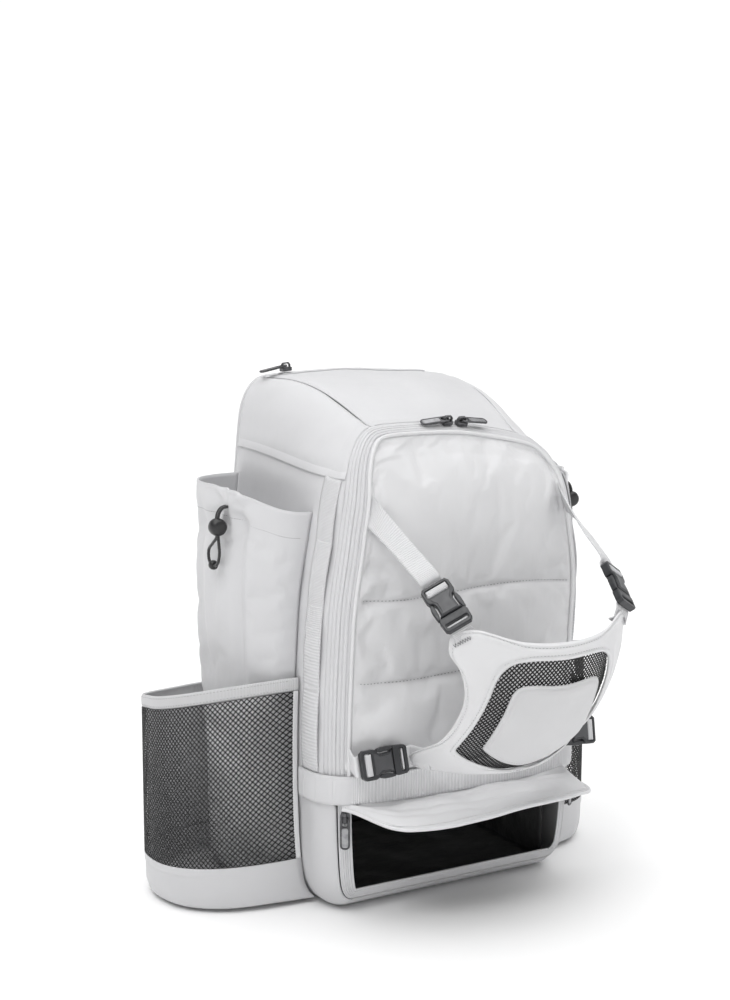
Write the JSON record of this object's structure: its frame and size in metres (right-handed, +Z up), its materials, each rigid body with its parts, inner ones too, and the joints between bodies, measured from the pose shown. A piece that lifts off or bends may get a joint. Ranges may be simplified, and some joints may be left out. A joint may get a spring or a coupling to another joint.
{
  "type": "baseball equipment backpack",
  "caption": "Upright baseball backpack in pale grey fabric with side bat sleeves, mesh bottle pockets, a buckled helmet flap with mesh window and an open shoe compartment.",
  "frame": {"origin": "centre of the flat underside, on the floor plane", "axes": "+Z up, -Y towards the front with the helmet flap, +X to the viewer's right of the front"},
  "size_m": [0.49, 0.439, 0.5141],
  "materials": {
    "body_fabric": "matte woven polyester",
    "pale_fabric": "smooth coated polyester",
    "zip_tape": "ribbed zip tape",
    "webbing": "ribbed webbing",
    "mesh_fabric": "open knitted mesh",
    "lining": "coated lining",
    "buckle_plastic": "moulded satin",
    "zip_metal": "gunmetal",
    "cord": "braided",
    "cord_plastic": "moulded satin"
  },
  "bodies": {
    "bag": {"side_panel_left": "body_fabric", "side_panel_right": "body_fabric", "top_panel": "body_fabric", "bottom_panel": "body_fabric", "back_panel": "body_fabric", "bat_sleeve_left": "body_fabric", "bat_sleeve_right": "body_fabric", "pocket_base_left": "body_fabric", "pocket_base_right": "body_fabric", "shoulder_strap_left": "body_fabric", "shoulder_strap_right": "body_fabric", "front_door": "pale_fabric", "shoe_flap": "pale_fabric", "helmet_flap": "pale_fabric", "helmet_patch": "pale_fabric", "pocket_binding_left": "pale_fabric", "pocket_binding_right": "pale_fabric", "main_zip_tape": "zip_tape", "shoe_zip_tape": "zip_tape", "top_zip_tape": "zip_tape", "lower_webbing": "webbing", "side_webbing_left": "webbing", "side_webbing_right": "webbing", "upper_strap_left": "webbing", "upper_strap_right": "webbing", "flap_tab_left": "webbing", "flap_tab_right": "webbing", "lower_strap_left": "webbing", "lower_strap_right": "webbing", "shoulder_webbing_left": "webbing", "shoulder_webbing_right": "webbing", "haul_loop": "webbing", "pocket_mesh_left": "mesh_fabric", "pocket_mesh_right": "mesh_fabric", "helmet_mesh": "mesh_fabric", "shoe_lining": "lining", "upper_buckle_left": "buckle_plastic", "upper_buckle_right": "buckle_plastic", "lower_buckle_left": "buckle_plastic", "lower_buckle_right": "buckle_plastic", "main_zip_left_slider": "zip_metal", "main_zip_right_slider": "zip_metal", "shoe_zip_left_slider": "zip_metal", "shoe_zip_right_slider": "zip_metal", "top_zip_slider": "zip_metal", "drawcord_left": "cord", "drawcord_right": "cord", "cord_lock_left": "cord_plastic", "cord_lock_right": "cord_plastic", "cord_end_left": "cord_plastic", "cord_end_right": "cord_plastic"},
    "main_zip_left_pull_body": {"main_zip_left_pull": "zip_metal"},
    "shoe_zip_left_pull_body": {"shoe_zip_left_pull": "zip_metal"},
    "main_zip_right_pull_body": {"main_zip_right_pull": "zip_metal"},
    "shoe_zip_right_pull_body": {"shoe_zip_right_pull": "zip_metal"},
    "top_zip_pull_body": {"top_zip_pull": "zip_metal"}
  },
  "joints": [
    {"name": "main_zip_left_pull_swing", "type": "hinge", "parent": "bag", "child": "main_zip_left_pull_body", "pos_m": [0.00601, -0.07704, 0.46475], "axis": [0, 0.8971, 0.4419], "range_deg": [0, 100]},
    {"name": "shoe_zip_left_pull_swing", "type": "hinge", "parent": "bag", "child": "shoe_zip_left_pull_body", "pos_m": [-0.13023, -0.11612, 0.10055], "axis": [-0.8444, 0.5357, 0], "range_deg": [0, 150]},
    {"name": "main_zip_right_pull_swing", "type": "hinge", "parent": "bag", "child": "main_zip_right_pull_body", "pos_m": [0.02195, -0.07704, 0.46325], "axis": [0, -0.8971, -0.4419], "range_deg": [0, 100]},
    {"name": "shoe_zip_right_pull_swing", "type": "hinge", "parent": "bag", "child": "shoe_zip_right_pull_body", "pos_m": [0.13023, -0.11612, 0.10055], "axis": [-0.8444, -0.5357, 0], "range_deg": [0, 150]},
    {"name": "top_zip_pull_swing", "type": "hinge", "parent": "bag", "child": "top_zip_pull_body", "pos_m": [-0.07868, 0.0987, 0.5106], "axis": [0, 1, 0], "range_deg": [0, 150]}
  ]
}
